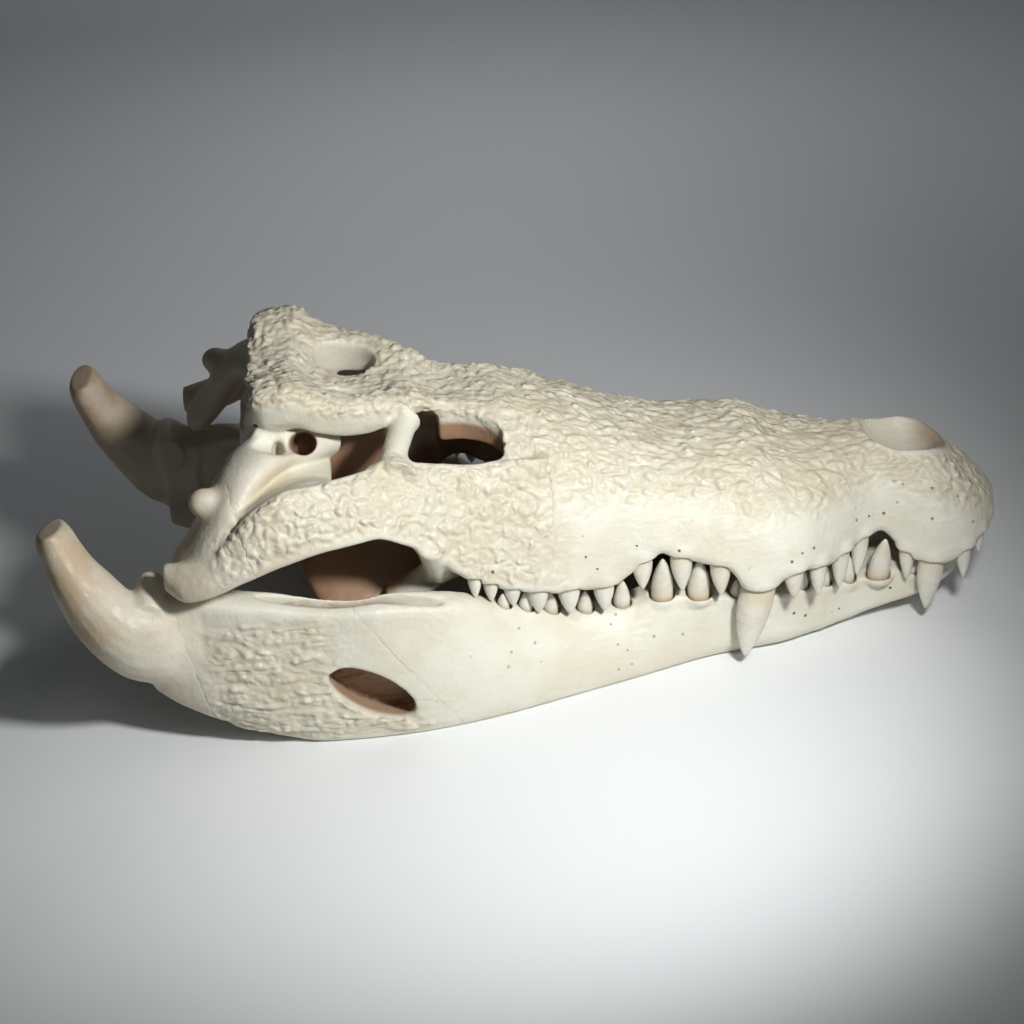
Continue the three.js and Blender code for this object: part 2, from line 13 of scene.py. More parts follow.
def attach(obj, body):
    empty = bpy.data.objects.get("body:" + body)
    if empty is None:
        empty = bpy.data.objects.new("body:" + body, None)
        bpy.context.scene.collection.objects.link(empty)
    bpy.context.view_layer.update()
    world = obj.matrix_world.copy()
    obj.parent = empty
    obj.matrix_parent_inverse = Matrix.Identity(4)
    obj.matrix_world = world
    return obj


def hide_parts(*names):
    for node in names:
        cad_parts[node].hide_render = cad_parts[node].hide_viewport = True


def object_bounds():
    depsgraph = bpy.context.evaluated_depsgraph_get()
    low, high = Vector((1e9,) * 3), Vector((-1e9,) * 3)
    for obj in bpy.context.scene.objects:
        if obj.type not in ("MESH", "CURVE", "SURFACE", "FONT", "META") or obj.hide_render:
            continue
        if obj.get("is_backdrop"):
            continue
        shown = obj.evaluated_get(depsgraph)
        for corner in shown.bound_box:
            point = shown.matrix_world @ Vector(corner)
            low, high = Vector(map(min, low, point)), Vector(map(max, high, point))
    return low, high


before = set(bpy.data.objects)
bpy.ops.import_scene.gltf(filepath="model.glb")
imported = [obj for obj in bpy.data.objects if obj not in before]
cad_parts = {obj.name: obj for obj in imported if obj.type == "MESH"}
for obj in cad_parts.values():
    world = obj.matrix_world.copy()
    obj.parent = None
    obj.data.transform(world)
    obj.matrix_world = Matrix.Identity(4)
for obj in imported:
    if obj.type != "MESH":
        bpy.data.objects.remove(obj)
CAD_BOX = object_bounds()

VOXEL = 1.06
BAND = 6 * VOXEL  # reach of the signed distances round a surface
SNOUT_TIP = 604.5
JAW_REAR = -76.2
MIDDLE = (SNOUT_TIP + JAW_REAR) / 2
MM = 0.001

# ---------------------------------------------------------------- shapes


def along(*stations):
    """Piecewise-smooth function of x through [x, value] stations, with no overshoot between them."""
    xs, vs = np.array(stations, float).T
    h = np.diff(xs)
    slope = np.diff(vs) / h
    tangent = np.concatenate([slope[:1], np.zeros(len(slope) - 1), slope[-1:]])
    a, b = slope[:-1], slope[1:]
    same = a * b > 0
    tangent[1:-1][same] = 2 * a[same] * b[same] / (a + b)[same]

    def value(x):
        x = np.clip(np.asarray(x, float), xs[0], xs[-1])
        i = np.clip(np.searchsorted(xs, x, side="right") - 1, 0, len(h) - 1)
        t = (x - xs[i]) / h[i]
        level = vs[i] * (1 + 2 * t) * (1 - t) ** 2 + vs[i + 1] * t * t * (3 - 2 * t)
        return level + h[i] * (tangent[i] * t * (1 - t) ** 2 - tangent[i + 1] * t * t * (1 - t))

    return value


def round_ring(ring, pieces=4):
    """Closed smooth curve through the ring's points."""
    p = np.asarray(ring, float)
    ahead = np.roll(p, -1, 0)
    step = np.maximum(np.linalg.norm(ahead - p, axis=1) ** 0.5, 1e-3)[:, None]
    slope = (ahead - p) / step
    before, last = np.roll(slope, 1, 0), np.roll(step, 1, 0)
    tangent = (before * step + slope * last) / (step + last)
    t = (np.arange(pieces) / pieces)[None, :, None]
    p0, p1, m0, m1 = (a[:, None] for a in (p, ahead, tangent * step, np.roll(tangent, -1, 0) * step))
    curve = p0 * (1 + 2 * t) * (1 - t) ** 2 + p1 * t * t * (3 - 2 * t)
    curve = curve + m0 * t * (1 - t) ** 2 - m1 * t * t * (1 - t)
    return curve.reshape(-1, 3)


def loft(rings):
    """Points and triangles of a skin over rings of equal point count, closed at both ends."""
    rings = np.asarray(rings, float)
    count, n = rings.shape[:2]
    points = np.vstack([rings.reshape(-1, 3), rings[0].mean(0), rings[-1].mean(0)])
    k = np.arange(n)
    j = (k + 1) % n
    faces = []
    for r in range(count - 1):
        a, b = r * n + k, r * n + j
        faces += [np.stack([a, b, b + n], 1), np.stack([a, b + n, a + n], 1)]
    last = (count - 1) * n
    faces.append(np.stack([np.full(n, count * n), j, k], 1))
    faces.append(np.stack([np.full(n, count * n + 1), last + k, last + j], 1))
    return points.astype(np.float32), np.vstack(faces).astype(np.uint32)


def even_ring(x, half):
    """Ring across x that is the same on both sides; half goes from the top middle to the bottom one."""
    right = [[x, -y, z] for y, z in half]
    return right + [[x, y, z] for y, z in half[-2:0:-1]]


def sample(path, t):
    """Point on a Catmull-Rom curve through the path."""
    p = np.array([path[0]] + list(path) + [path[-1]], float)
    p[0], p[-1] = 2 * p[1] - p[2], 2 * p[-2] - p[-3]
    u = t * (len(path) - 1)
    i = min(int(u), len(path) - 2)
    u -= i
    a, b, c, d = p[i : i + 4]
    return 0.5 * (2 * b + (c - a) * u + (2 * a - 5 * b + 4 * c - d) * u * u + (3 * b - a - 3 * c + d) * u**3)


def bar(path, size, across=(0, 1, 0), steps=24, sides=20):
    """Elliptical bar along a smooth path; size gives its half sizes across and deep at each share."""
    rings = []
    angle = 2 * np.pi * np.arange(sides) / sides
    for t in np.linspace(0, 1, steps):
        tangent = sample(path, min(t + 0.01, 1)) - sample(path, max(t - 0.01, 0))
        deep = np.cross(tangent, across)
        deep /= np.linalg.norm(deep)
        wide = np.cross(deep, tangent)
        wide /= np.linalg.norm(wide)
        a, b = size(t)
        rings.append(sample(path, t) + a * np.cos(angle)[:, None] * wide + b * np.sin(angle)[:, None] * deep)
    return loft(rings)


# ---------------------------------------------------------------- solids as signed distances


def soft_min(a, b, soft):
    if soft <= 0:
        return np.minimum(a, b)
    h = np.clip(0.5 + 0.5 * (b - a) / soft, 0, 1)
    return b + (a - b) * h - soft * h * (1 - h)


class Solid:
    """Signed distance on a grid over the right half of the skull, up to the plane y = 0."""

    def __init__(self, low, high):
        self.first = np.floor(np.array(low) / VOXEL).astype(int)
        last = np.ceil(np.array(high) / VOXEL).astype(int)
        last[1] = 0
        self.shape = last - self.first + 1
        self.d = np.full(self.shape, BAND, np.float32)

    def window(self, low, high):
        a = np.clip(np.floor(np.array(low) / VOXEL).astype(int) - self.first, 0, self.shape)
        b = np.clip(np.ceil(np.array(high) / VOXEL).astype(int) - self.first + 1, 0, self.shape)
        return tuple(slice(i, j) for i, j in zip(a, b)), a + self.first

    def apply(self, place, part, soft, cut):
        old = self.d[place]
        self.d[place] = -soft_min(-old, part, soft) if cut else soft_min(old, part, soft)

    def mesh(self, skin, soft=0.0, cut=False):
        """Joins a closed skin to the solid, or cuts it away."""
        points, faces = skin
        transform = vdb.createLinearTransform(voxelSize=VOXEL)
        grid = vdb.FloatGrid.createLevelSetFromPolygons(points, faces, transform=transform, halfWidth=6.0)
        margin = BAND + 2 * VOXEL
        place, first = self.window(points.min(0) - margin, points.max(0) + margin)
        part = np.full(self.d[place].shape, BAND, np.float32)
        if part.size:
            grid.copyToArray(part, ijk=tuple(int(i) for i in first))
            self.apply(place, part, soft, cut)

    def ball(self, centre, radii, soft=0.0, cut=False, turn=0.0, pitch=0.0):
        """Joins or cuts an ellipsoid, turned about z and pitched about x, in degrees."""
        centre, radii = np.array(centre, float), np.array(radii, float)
        reach = radii.max() + BAND
        place, first = self.window(centre - reach, centre + reach)
        size = self.d[place].shape
        if not self.d[place].size:
            return
        axes = [((first[k] + np.arange(size[k])) * VOXEL - centre[k]).astype(np.float32) for k in range(3)]
        grid = np.stack(np.meshgrid(*axes, indexing="ij"), -1)
        matrix = Matrix.Rotation(math.radians(turn), 3, "Z") @ Matrix.Rotation(math.radians(pitch), 3, "X")
        local = grid @ np.array(matrix, np.float32)
        inner = np.sqrt(((local / radii) ** 2).sum(-1)) + 1e-6
        outer = np.sqrt(((local / radii**2) ** 2).sum(-1)) + 1e-6
        part = np.clip(inner * (inner - 1) / outer, -BAND, BAND)
        self.apply(place, part.astype(np.float32), soft, cut)

    def smooth(self, times):
        """Rounds the solid by a binomial blur of one voxel."""
        for _ in range(times):
            for axis in range(3):
                d = np.moveaxis(self.d, axis, 0)
                after = np.concatenate([d[1:], d[-1:] if axis != 1 else d[-2:-1]])
                before = np.concatenate([d[:1], d[:-1]])
                d[...] = 0.25 * before + 0.5 * d + 0.25 * after

    def whole(self):
        """Both halves: the values mirrored in the plane y = 0, and the first grid point."""
        return np.concatenate([self.d, self.d[:, -2::-1]], 1), self.first

    def right_only(self, gap):
        """The right half with a flat face at y = -gap."""
        y = ((self.first[1] + np.arange(self.shape[1])) * VOXEL).astype(np.float32)
        return np.maximum(self.d, (y + gap)[None, :, None]), self.first


def skin_of(values, first):
    """Points and quads of the surface where the signed distance is 0."""
    grid = vdb.FloatGrid(BAND)
    grid.copyFromArray(np.ascontiguousarray(values), ijk=tuple(int(i) for i in first), tolerance=0.0)
    grid.transform = vdb.createLinearTransform(voxelSize=VOXEL)
    points, quads = grid.convertToQuads(isovalue=0.0)
    quads = quads.astype(np.int64)
    return largest(points.astype(float), quads)


def largest(points, quads):
    """The largest connected piece of a mesh."""
    label = np.arange(len(points))
    while True:
        low = label[quads].min(1)
        new = label.copy()
        for k in range(4):
            np.minimum.at(new, quads[:, k], low)
        new = new[new]
        if (new == label).all():
            break
        label = new
    names, counts = np.unique(label, return_counts=True)
    kept = label == names[counts.argmax()]
    number = np.cumsum(kept) - 1
    quads = quads[kept[quads[:, 0]]]
    return points[kept], number[quads]


# ---------------------------------------------------------------- driving sizes of the cranium

snout_half = along(
    [196, 112], [236, 105], [262, 100], [293, 94], [322, 89], [344, 87], [376, 90], [395, 94],
    [412, 97], [430, 95], [448, 89], [464, 79], [480, 65], [495, 52], [509, 46], [521, 48], [535, 55],
    [550, 60], [565, 57], [578, 50], [590, 38], [598, 25], [602, 14], [SNOUT_TIP, 4],
)
margin_z = along(
    [196, 112], [215, 99], [236, 89], [262, 81], [293, 76], [308, 75], [322, 83], [344, 97], [360, 91],
    [376, 87], [392, 82], [401, 69], [412, 64], [427, 70], [448, 75], [464, 70], [480, 72], [501, 75],
    [509, 78], [521, 67], [535, 55], [553, 53], [576, 61], [591, 68], [SNOUT_TIP, 74],
)
roof_z = along(
    [196, 199], [236, 197], [257, 191], [285, 183], [313, 172], [342, 161], [371, 155], [411, 154],
    [443, 142], [473, 138], [530, 139], [547, 134], [570, 117], [589, 100], [600, 87], [SNOUT_TIP, 79],
)
roof_half = along(
    [66, 58], [71, 70], [80, 75], [92, 75], [110, 72], [130, 66], [158, 58], [172, 50], [180, 45.5],
    [190, 41], [201, 37.4], [214, 36], [240, 37.4],
)
rim_z = along(
    [66, 228], [74, 239], [98, 240], [115, 230], [131, 223], [160, 217], [180, 212], [200, 202],
    [230, 198], [266, 189],
)
mid_z = along(
    [66, 224], [95, 227], [115, 213], [145, 207], [165, 208], [185, 203], [205, 196], [240, 194],
    [266, 189],
)
rim_depth = along([72, 26], [90, 36], [115, 30], [145, 27], [175, 16], [195, 11], [266, 12])
roof_thick = along([72, 34], [110, 24], [150, 18], [240, 16])
cheek_top_y = along(
    [6, 136], [34, 143], [64, 139], [91, 132], [114, 122], [128, 114], [155, 98], [168, 92], [209, 84],
    [235, 77], [270, 72],
)
cheek_top_z = along(
    [6, 148], [20, 150], [34, 153], [48, 164], [64, 180], [79, 189], [91, 193], [114, 191], [155, 188],
    [168, 186], [209, 176.5], [222, 174], [270, 172],
)
cheek_low_y = along(
    [6, 140], [20, 152], [35, 154], [60, 152], [89, 147], [118, 140], [145, 130], [166, 120],
    [184, 114], [215, 107], [236, 105], [270, 100],
)
cheek_low_z = along(
    [6, 131], [20, 127.5], [35, 130], [60, 139], [89, 147], [118, 151], [145, 151], [166, 139],
    [184, 126], [201, 109], [215, 99], [236, 89], [270, 80],
)
cheek_thick = along([6, 12], [40, 18], [90, 15], [150, 13], [200, 18], [270, 26])

SNOUT_SECTION = [(0, 0), (0.26, 0.014), (0.5, 0.085), (0.72, 0.26), (0.88, 0.52), (0.975, 0.8)]


def snout_ring(x):
    w, low, top = snout_half(x), margin_z(x), roof_z(x)
    h = top - low
    side = [(a * w, top - b * h) for a, b in SNOUT_SECTION]
    edge = [(w, low + 0.04 * h), (0.95 * w, low - 2.5), (0.84 * w, low), (0.72 * w, low + 6), (0, low + 9)]
    return round_ring(even_ring(x, side + edge))


def roof_ring(x):
    w, rim, mid, deep = roof_half(x), rim_z(x), mid_z(x), rim_depth(x)
    low = mid - roof_thick(x)
    half = [
        (0, mid), (0.35 * w, mid + 0.25 * (rim - mid)), (0.62 * w, mid + 0.85 * (rim - mid)),
        (0.86 * w, rim), (w, rim - 4), (0.99 * w, rim - 0.6 * deep), (0.92 * w, rim - deep),
        (0.78 * w, max(rim - deep + 3, low)), (0.5 * w, low), (0, low),
    ]
    return round_ring(even_ring(x, half))


def cheek_ring(x):
    ty, tz, ly, lz = cheek_top_y(x), cheek_top_z(x), cheek_low_y(x), cheek_low_z(x)
    thick = cheek_thick(x)

    def at(t, out):
        return [x, -(ty + (ly - ty) * t + out), tz + (lz - tz) * t + 0.3 * out]

    outer = [at(0, 0), at(0.25, 4), at(0.55, 5), at(0.85, 2.5), at(1, -1)]
    inner = [at(0.98, -0.7 * thick), at(0.7, -thick), at(0.3, -thick), at(0.04, -0.7 * thick)]
    return round_ring(outer + inner)


QUADRATE = [
    # centre, half width towards the cheek, half thickness
    ((116, -32, 182), 20, 15), ((96, -49, 187), 24, 14), ((79, -71, 192), 22, 13),
    ((65, -91, 189), 21, 13), ((51, -105, 176), 24, 13), ((41, -113, 161), 26, 12),
    ((30, -117, 146), 27, 11), ((19, -118, 134), 26, 10.5), ((14, -118, 128), 21, 7),
]


def quadrate():
    centres = np.array([c for c, _, _ in QUADRATE], float)
    last = len(QUADRATE) - 1
    sizes = [along(*[(i, s[k]) for i, s in enumerate(QUADRATE)]) for k in (1, 2)]
    rings = []
    angle = 2 * np.pi * np.arange(24) / 24
    for u in np.linspace(0, last, 40):
        run = sample(centres, min(u / last + 0.02, 1)) - sample(centres, max(u / last - 0.02, 0))
        run /= np.linalg.norm(run)
        first = np.array([0.42, -0.9, 0.12]) / np.linalg.norm([0.42, -0.9, 0.12])
        side = first * (1 - u / last) + np.array([0.1, -1, 0]) * u / last
        side -= run * (side @ run)
        side /= np.linalg.norm(side)
        up = np.cross(side, run)
        ring = sample(centres, u / last) + sizes[0](u) * np.cos(angle)[:, None] * side
        rings.append(ring + sizes[1](u) * np.sin(angle)[:, None] * up)
    return loft(rings)


# Plate between the strut of the quadrate and the cheek bar: x, inner edge, outer edge.
PLATE = [
    (54, (-97, 179), (-131, 170)), (80, (-72, 184), (-128, 183)), (104, (-51, 175), (-118, 186)),
    (120, (-46, 166), (-110, 182)),
]


def quadrate_plate():
    columns = [along(*[(x, edge[i][k]) for x, *edge in PLATE]) for i in (0, 1) for k in (0, 1)]
    rings = []
    for x in np.linspace(54, 120, 23):
        y0, z0, y1, z1 = (float(f(x)) for f in columns)
        ym, zm = 0.45 * y0 + 0.55 * y1, 0.45 * z0 + 0.55 * z1 - 4
        high = [(y0, z0 + 3.5), (ym, zm + 3.5), (y1, z1 + 3.5)]
        rings.append(round_ring([[x, y, z] for y, z in high + [(y, z - 7) for y, z in high[::-1]]]))
    return loft(rings)


case_half = along([58, 24], [70, 34], [95, 30], [120, 22], [170, 15])
case_low = along([58, 140], [66, 118], [80, 104], [105, 104], [130, 120], [170, 150])


def case_ring(x):
    w, low = case_half(x), case_low(x)
    top = mid_z(max(x, 66)) - roof_thick(max(x, 66))
    h = top - low
    half = [(0, top), (w, top), (w, top - 0.35 * h), (0.72 * w, low + 0.25 * h), (0.6 * w, low + 3), (0, low)]
    return round_ring(even_ring(x, half))


def wing_ring(y):
    """Section of the pterygoid across y."""
    out = abs(y) / 84
    front, back = 196 - 34 * out**1.5, 84 + 26 * out * out
    mid, tilt, t = 104 - 44 * out**1.6, 10 - 16 * out, 8 - 3 * out
    low = [(back, mid - tilt - t / 2), (back + 12, mid - tilt - t), (front - 12, mid + tilt - t)]
    high = [(front, mid + tilt), (front - 12, mid + tilt + t), (back + 12, mid - tilt + t), (back, mid - tilt + t / 2)]
    return round_ring([[x, y, z] for x, z in low + high])


palatine_half = along([182, 30], [230, 22], [290, 26], [330, 16])
palatine_low = along([182, 96], [240, 88], [330, 88])
palatine_top = along([182, 114], [240, 108], [330, 100])


def palatine_ring(x):
    w, low, top = palatine_half(x), palatine_low(x), palatine_top(x)
    return round_ring(even_ring(x, [(0, top), (0.6 * w, top - 1), (w, (low + top) / 2), (0.6 * w, low + 1), (0, low)]))


# ---------------------------------------------------------------- teeth

# Upper teeth of the right side: x, length, radius, sweep of the tip along x.
UPPER_TEETH = [
    (212, 17, 5, 0), (223, 16, 5.5, 0), (238, 17, 6.5, 0), (256, 21, 8, 0), (278, 22, 8, 0),
    (303, 22, 7.5, 0), (331, 24, 7.5, 0), (359, 29, 8, 0), (386, 26, 7.4, 0), (414, 57, 12.5, -0.22),
    (438, 22, 7, 0), (457, 25, 6.2, 0), (477, 29, 6.5, -0.05), (495, 32, 6.2, -0.1), (529, 24, 5.5, 0),
    (547, 41, 9.6, -0.12), (570, 24, 5.5, 0), (583, 16, 4.5, 0.05), (594, 12, 3.8, 0.2),
]
# Lower teeth: x, length, radius, sweep, extra offset outwards.
LOWER_TEETH = [
    (231, 11, 4.6, 0, 0), (247, 15, 5, 0, 0), (265, 17, 5.5, 0, 0), (290, 18, 5.5, 0, 0),
    (317, 23, 6, 0, 0), (346, 34, 8, 0, 1), (372, 32, 8, 0, 1), (400, 15, 5, 0, 0), (449, 17, 5, 0, 0),
    (467, 19, 5.2, 0, 0), (486, 22, 5.5, 0, 1), (509, 33, 8, 0.1, 5), (536, 13, 5, 0.05, 2),
    (554, 14, 4.5, 0.1, -8), (570, 12, 4, 0.1, -7),
]
SOCKET = 6


def upper_roots():
    """Base point, direction, length and radius of each upper tooth."""
    for x, length, radius, sweep in UPPER_TEETH:
        inset = radius + (3 if x > 570 else 0.8)
        set_back = 3 if x > 585 else 0
        yield (x - set_back, inset - float(snout_half(x)), float(margin_z(x)) + 1), (sweep, -0.06, -1), length, radius


def lower_roots():
    for x, length, radius, sweep, out in LOWER_TEETH:
        base = (x, 6 - out - float(jaw_edge_y(x)), float(jaw_top_z(x)) - 1)
        yield base, (sweep, -0.08, 1), length, radius


def tooth_skin(base, direction, length, radius):
    """Slightly hooked, round-shouldered cone with two cutting edges."""
    tip = np.array(direction) / np.linalg.norm(direction)
    side = np.cross([1, 0, 0], tip)
    side /= np.linalg.norm(side)
    front = np.cross(tip, side)
    hooked = 0.1 * length * np.sign(direction[2])
    rings = []
    angle = 2 * np.pi * np.arange(20) / 20
    profile = along((0, 0.93), (0.2, 1.0), (0.45, 0.93), (0.7, 0.68), (0.9, 0.33), (0.97, 0.16), (1, 0.03))
    for t in np.linspace(0, 1, 22):
        r = radius * profile(t)
        edge = 1 + 0.05 * np.abs(np.cos(angle)) ** 8 * (t > 0.3)
        centre = np.array(base) + tip * (t * (length + SOCKET) - SOCKET) + side * hooked * t * t
        ring = centre + (0.86 * r * np.sin(angle))[:, None] * side + (r * edge * np.cos(angle))[:, None] * front
        rings.append(ring)
    return loft(rings)


# ---------------------------------------------------------------- driving sizes of the lower jaw

jaw_out_y = along(
    [-12, 130], [0, 135], [30, 142], [60, 146], [100, 147], [133, 146], [165, 144], [208, 136],
    [250, 123], [290, 109], [326, 97], [356, 87], [380, 80], [396, 77], [430, 73], [451, 66], [470, 58],
    [488, 50], [510, 46], [541, 42], [560, 34], [572, 25], [580, 15], [584, 6],
)
jaw_edge_y = along(
    [-12, 127], [0, 131], [60, 138], [133, 138], [186, 126], [208, 116], [232, 102], [262, 90],
    [290, 83], [326, 77], [345, 77], [372, 78], [396, 74], [430, 71], [451, 63], [470, 55], [488, 48],
    [510, 44], [541, 40], [560, 33], [572, 24], [580, 14], [584, 5],
)
jaw_in_y = along(
    [-12, 96], [60, 112], [133, 111], [208, 96], [266, 72], [326, 52], [396, 32], [440, 15], [470, 3],
    [476, 0], [584, 0],
)
jaw_top_z = along(
    [-12, 118], [0, 117], [28, 115.5], [61, 111], [122, 101], [140, 101], [163, 98], [202, 88],
    [232, 72], [262, 58], [290, 51], [320, 50], [345, 55], [372, 54], [400, 47], [425, 45], [450, 44],
    [480, 39], [500, 38], [515, 41], [545, 37], [570, 38], [584, 39],
)
jaw_low_z = along(
    [-12, 44], [3, 34], [18, 26], [41, 15], [68, 5.5], [92, 1], [104, 0], [330, 0], [482, 0], [500, 4],
    [520, 8.5],
    [541, 14], [560, 20], [575, 27], [584, 33],
)
jaw_tuck = along(
    [-12, 5], [60, 8], [133, 3], [320, 2], [380, 5], [430, 9], [488, 12], [541, 12], [572, 8], [584, 2],
)


def jaw_ring(x, inner):
    out, edge, low, top, tuck = (float(f(x)) for f in (jaw_out_y, jaw_edge_y, jaw_low_z, jaw_top_z, jaw_tuck))
    h = top - low
    foot = max(inner + 7, out - tuck - 12)
    half = [
        (edge, top), (edge + 0.35 * (out - edge), top - 0.15 * h), (edge + 0.85 * (out - edge), low + 0.5 * h),
        (out, low + 0.22 * h), (out - 0.6 * tuck, low + 0.05 * h), (out - tuck - 3, low), (foot, low),
        (inner, low + 0.12 * h + 2), (inner + 2, low + 0.5 * h), (inner, top - 0.1 * h), (inner + 3, top),
    ]
    return round_ring([[x, -y, z] for y, z in half])


CHIN_X = 466


def hook():
    path = [
        (16, -120, 86), (-10, -127, 88), (-31, -131, 103), (-49, -126, 129), (-60, -120, 152), (-66, -117, 172),
    ]
    wide = along([0, 19], [0.25, 24], [0.5, 23], [1, 18])
    deep = along([0, 35], [0.2, 33], [0.4, 25], [0.55, 21], [0.75, 15], [0.93, 12.5], [1, 9])
    return bar(path, lambda t: (wide(t), deep(t)), steps=40)


def jaw_window():
    """Lens-shaped hole in the outer wall, sloping down forwards."""
    long, high = 33, 15
    turn = math.radians(34)
    angle = 2 * np.pi * np.arange(48) / 48
    a, b = long * np.cos(angle), high * np.sin(angle)
    x, z = 136 + a * math.cos(turn) + b * math.sin(turn), 38 - a * math.sin(turn) + b * math.cos(turn)
    return loft([np.stack([x, np.full(48, y), z], 1) for y in np.linspace(-175, -123, 12)])


def joint_lip():
    path = [(-8, -138, 108), (-8, -118, 110), (-8, -98, 110)]
    return bar(path, lambda t: (12, 19 - 6 * (2 * t - 1) ** 2), across=(1, 0, 0))


# ---------------------------------------------------------------- building the two solids

ROUND = 4.0  # fillet where bones run into each other


def build_cranium():
    solid = Solid((-4, -166, 36), (SNOUT_TIP + 12, 0, 252))
    behind = np.arange(196, SNOUT_TIP, 4.0)
    solid.mesh(loft([snout_ring(x) for x in np.append(behind, SNOUT_TIP)]))
    shaft = [(206, -60, 70), (206, -60, 130), (206, -58, 240)]
    solid.mesh(bar(shaft, lambda t: (22 + 2 * t, 33 + t), sides=36), 3, cut=True)
    hollow = [(160, 0, 140), (262, 0, 136)]
    solid.mesh(bar(hollow, lambda t: (74, 38), sides=36), 3, cut=True)
    solid.mesh(bar([(150, 0, 110), (262, 0, 110)], lambda t: (52, 58), sides=36), 3, cut=True)
    # skull roof with its two openings
    roof = Solid(solid.first * VOXEL, (solid.first + solid.shape - 1) * VOXEL)
    roof.mesh(loft([roof_ring(x) for x in np.arange(66, 271, 3.0)]))
    hole = [(134, -26, 160), (134, -27, 205), (133, -27, 250)]
    roof.mesh(bar(hole, lambda t: (14 + 2 * t, 20 + 3 * t), sides=36), 5, cut=True)
    solid.d = soft_min(solid.d, roof.d, ROUND)
    # cheek, bar behind the eye, quadrate, braincase and palate
    solid.mesh(loft([cheek_ring(x) for x in np.arange(6, 271, 4.0)]), ROUND)
    path = [(174, -46, 197), (170, -58, 193), (165, -76, 188), (162, -93, 178)]

    def bar_size(t):
        flare = 1 + (0.35 if t < 0.5 else 1.1) * (2 * t - 1) ** 4
        return 8.6 * flare, 9.2 * flare

    solid.mesh(bar(path, bar_size, across=(1, 0, 0)), 6)
    solid.mesh(quadrate(), ROUND)
    solid.ball((36, -112, 180), (10, 9, 9), 7)
    solid.mesh(quadrate_plate(), ROUND)
    solid.mesh(loft([case_ring(x) for x in np.arange(58, 171, 4.0)]), ROUND)
    wing = [(70, -20, 190), (72, -48, 192), (76, -70, 198)]
    solid.mesh(bar(wing, lambda t: (17 - 5 * t, 8 - t), across=(0, 0, 1)), ROUND)
    solid.ball((55, 0, 148), (12, 13, 12), 3)
    solid.ball((52, 0, 172), (26, 11, 9), 2, cut=True)
    solid.mesh(loft([wing_ring(y) for y in np.linspace(-84, 84, 43)]), ROUND)
    solid.mesh(loft([palatine_ring(x) for x in np.arange(182, 331, 4.0)]), ROUND)
    strut = [(212, -92, 112), (196, -88, 103), (178, -80, 88), (160, -76, 70)]
    solid.mesh(bar(strut, lambda t: (8 + 5 * (2 * t - 1) ** 2, 10 + 5 * (2 * t - 1) ** 2)), 6)
    foot = [(186, -86, 98), (186, -98, 116), (184, -108, 134)]
    solid.mesh(bar(foot, lambda t: (8 + 3 * t, 10 + 4 * t), across=(1, 0, 0)), 6)
    carve_cranium(solid)
    add_sockets(solid, list(upper_roots()), 1)
    solid.smooth(2)
    return solid


def carve_cranium(solid):
    """Nostril, ear opening and the gaps behind the eye."""
    solid.ball((536, 0, 141), (33, 29, 25), 1.5, cut=True)
    ear = [(101, -100, 214), (103, -60, 191), (104, -40, 180)]
    solid.mesh(bar(ear, lambda t: (8.5, 8), across=(1, 0, 0)), 2, cut=True)
    solid.ball((94, -82, 206), (24, 16, 10), 3, cut=True, pitch=-20)
    solid.ball((86, -72, 193), (4, 12, 7), 2, cut=True, pitch=-30)


def add_sockets(solid, roots, up):
    """Swollen rim and narrow gap round the root of each tooth."""
    for base, _, _, radius in roots:
        solid.ball(base + np.array((0, 0, 2.5 * up)), (radius + 3.2, radius + 2.6, 7), 3)
    for base, _, _, radius in roots:
        solid.ball(base, (radius + 1.3, 0.86 * radius + 1.3, 6.5), 1, cut=True)


def build_jaw():
    solid = Solid((JAW_REAR - 12, -166, -8), (604, 0, 196))
    ramus = [jaw_ring(x, float(jaw_in_y(x))) for x in np.append(np.arange(-12, CHIN_X, 4.0), CHIN_X)]
    solid.mesh(loft(ramus))
    chin = [jaw_ring(x, -7) for x in np.append(np.arange(CHIN_X - 2, 584, 3.0), 584)]
    solid.mesh(loft(chin), 2)
    solid.mesh(hook(), 8)
    solid.mesh(joint_lip(), ROUND)
    carve_jaw(solid)
    add_sockets(solid, list(lower_roots()), -1)
    solid.smooth(2)
    return solid


def carve_jaw(solid):
    """Opening in the side, hollow for the jaw muscle and the bed of the joint."""
    solid.mesh(jaw_window(), 1.5, cut=True)
    solid.ball((128, -122, 104), (66, 8, 30), 4, cut=True, turn=2)
    solid.ball((17, -118, 127), (15, 27, 12), 7, cut=True)


# ---------------------------------------------------------------- surface relief


def each(points, f):
    return np.array([f(p) for p in points.tolist()])


def smooth_step(value, low, high):
    t = np.clip((value - low) / (high - low), 0, 1)
    return t * t * (3 - 2 * t)


def noise_at(points, size, seed=0.0):
    p = points / size + seed
    return each(p, noise.noise)


def blobs(points, size, warp, seed):
    """Knobs that meet in narrow furrows: 0 in the furrows, rising to 1 over the knobs."""
    p = points / size + seed

    def value(q):
        v = noise.noise_vector((0.7 * q[0], 0.7 * q[1], 0.7 * q[2]))
        near = noise.voronoi((q[0] + warp * v[0], q[1] + warp * v[1], q[2] + warp * v[2]))[0]
        gap = near[1] - near[0]
        return 0.5 * (1 - math.exp(-((gap / 0.3) ** 2))) + 0.5 * (1 - math.exp(-((gap / 0.7) ** 2)))

    return each(p, value)


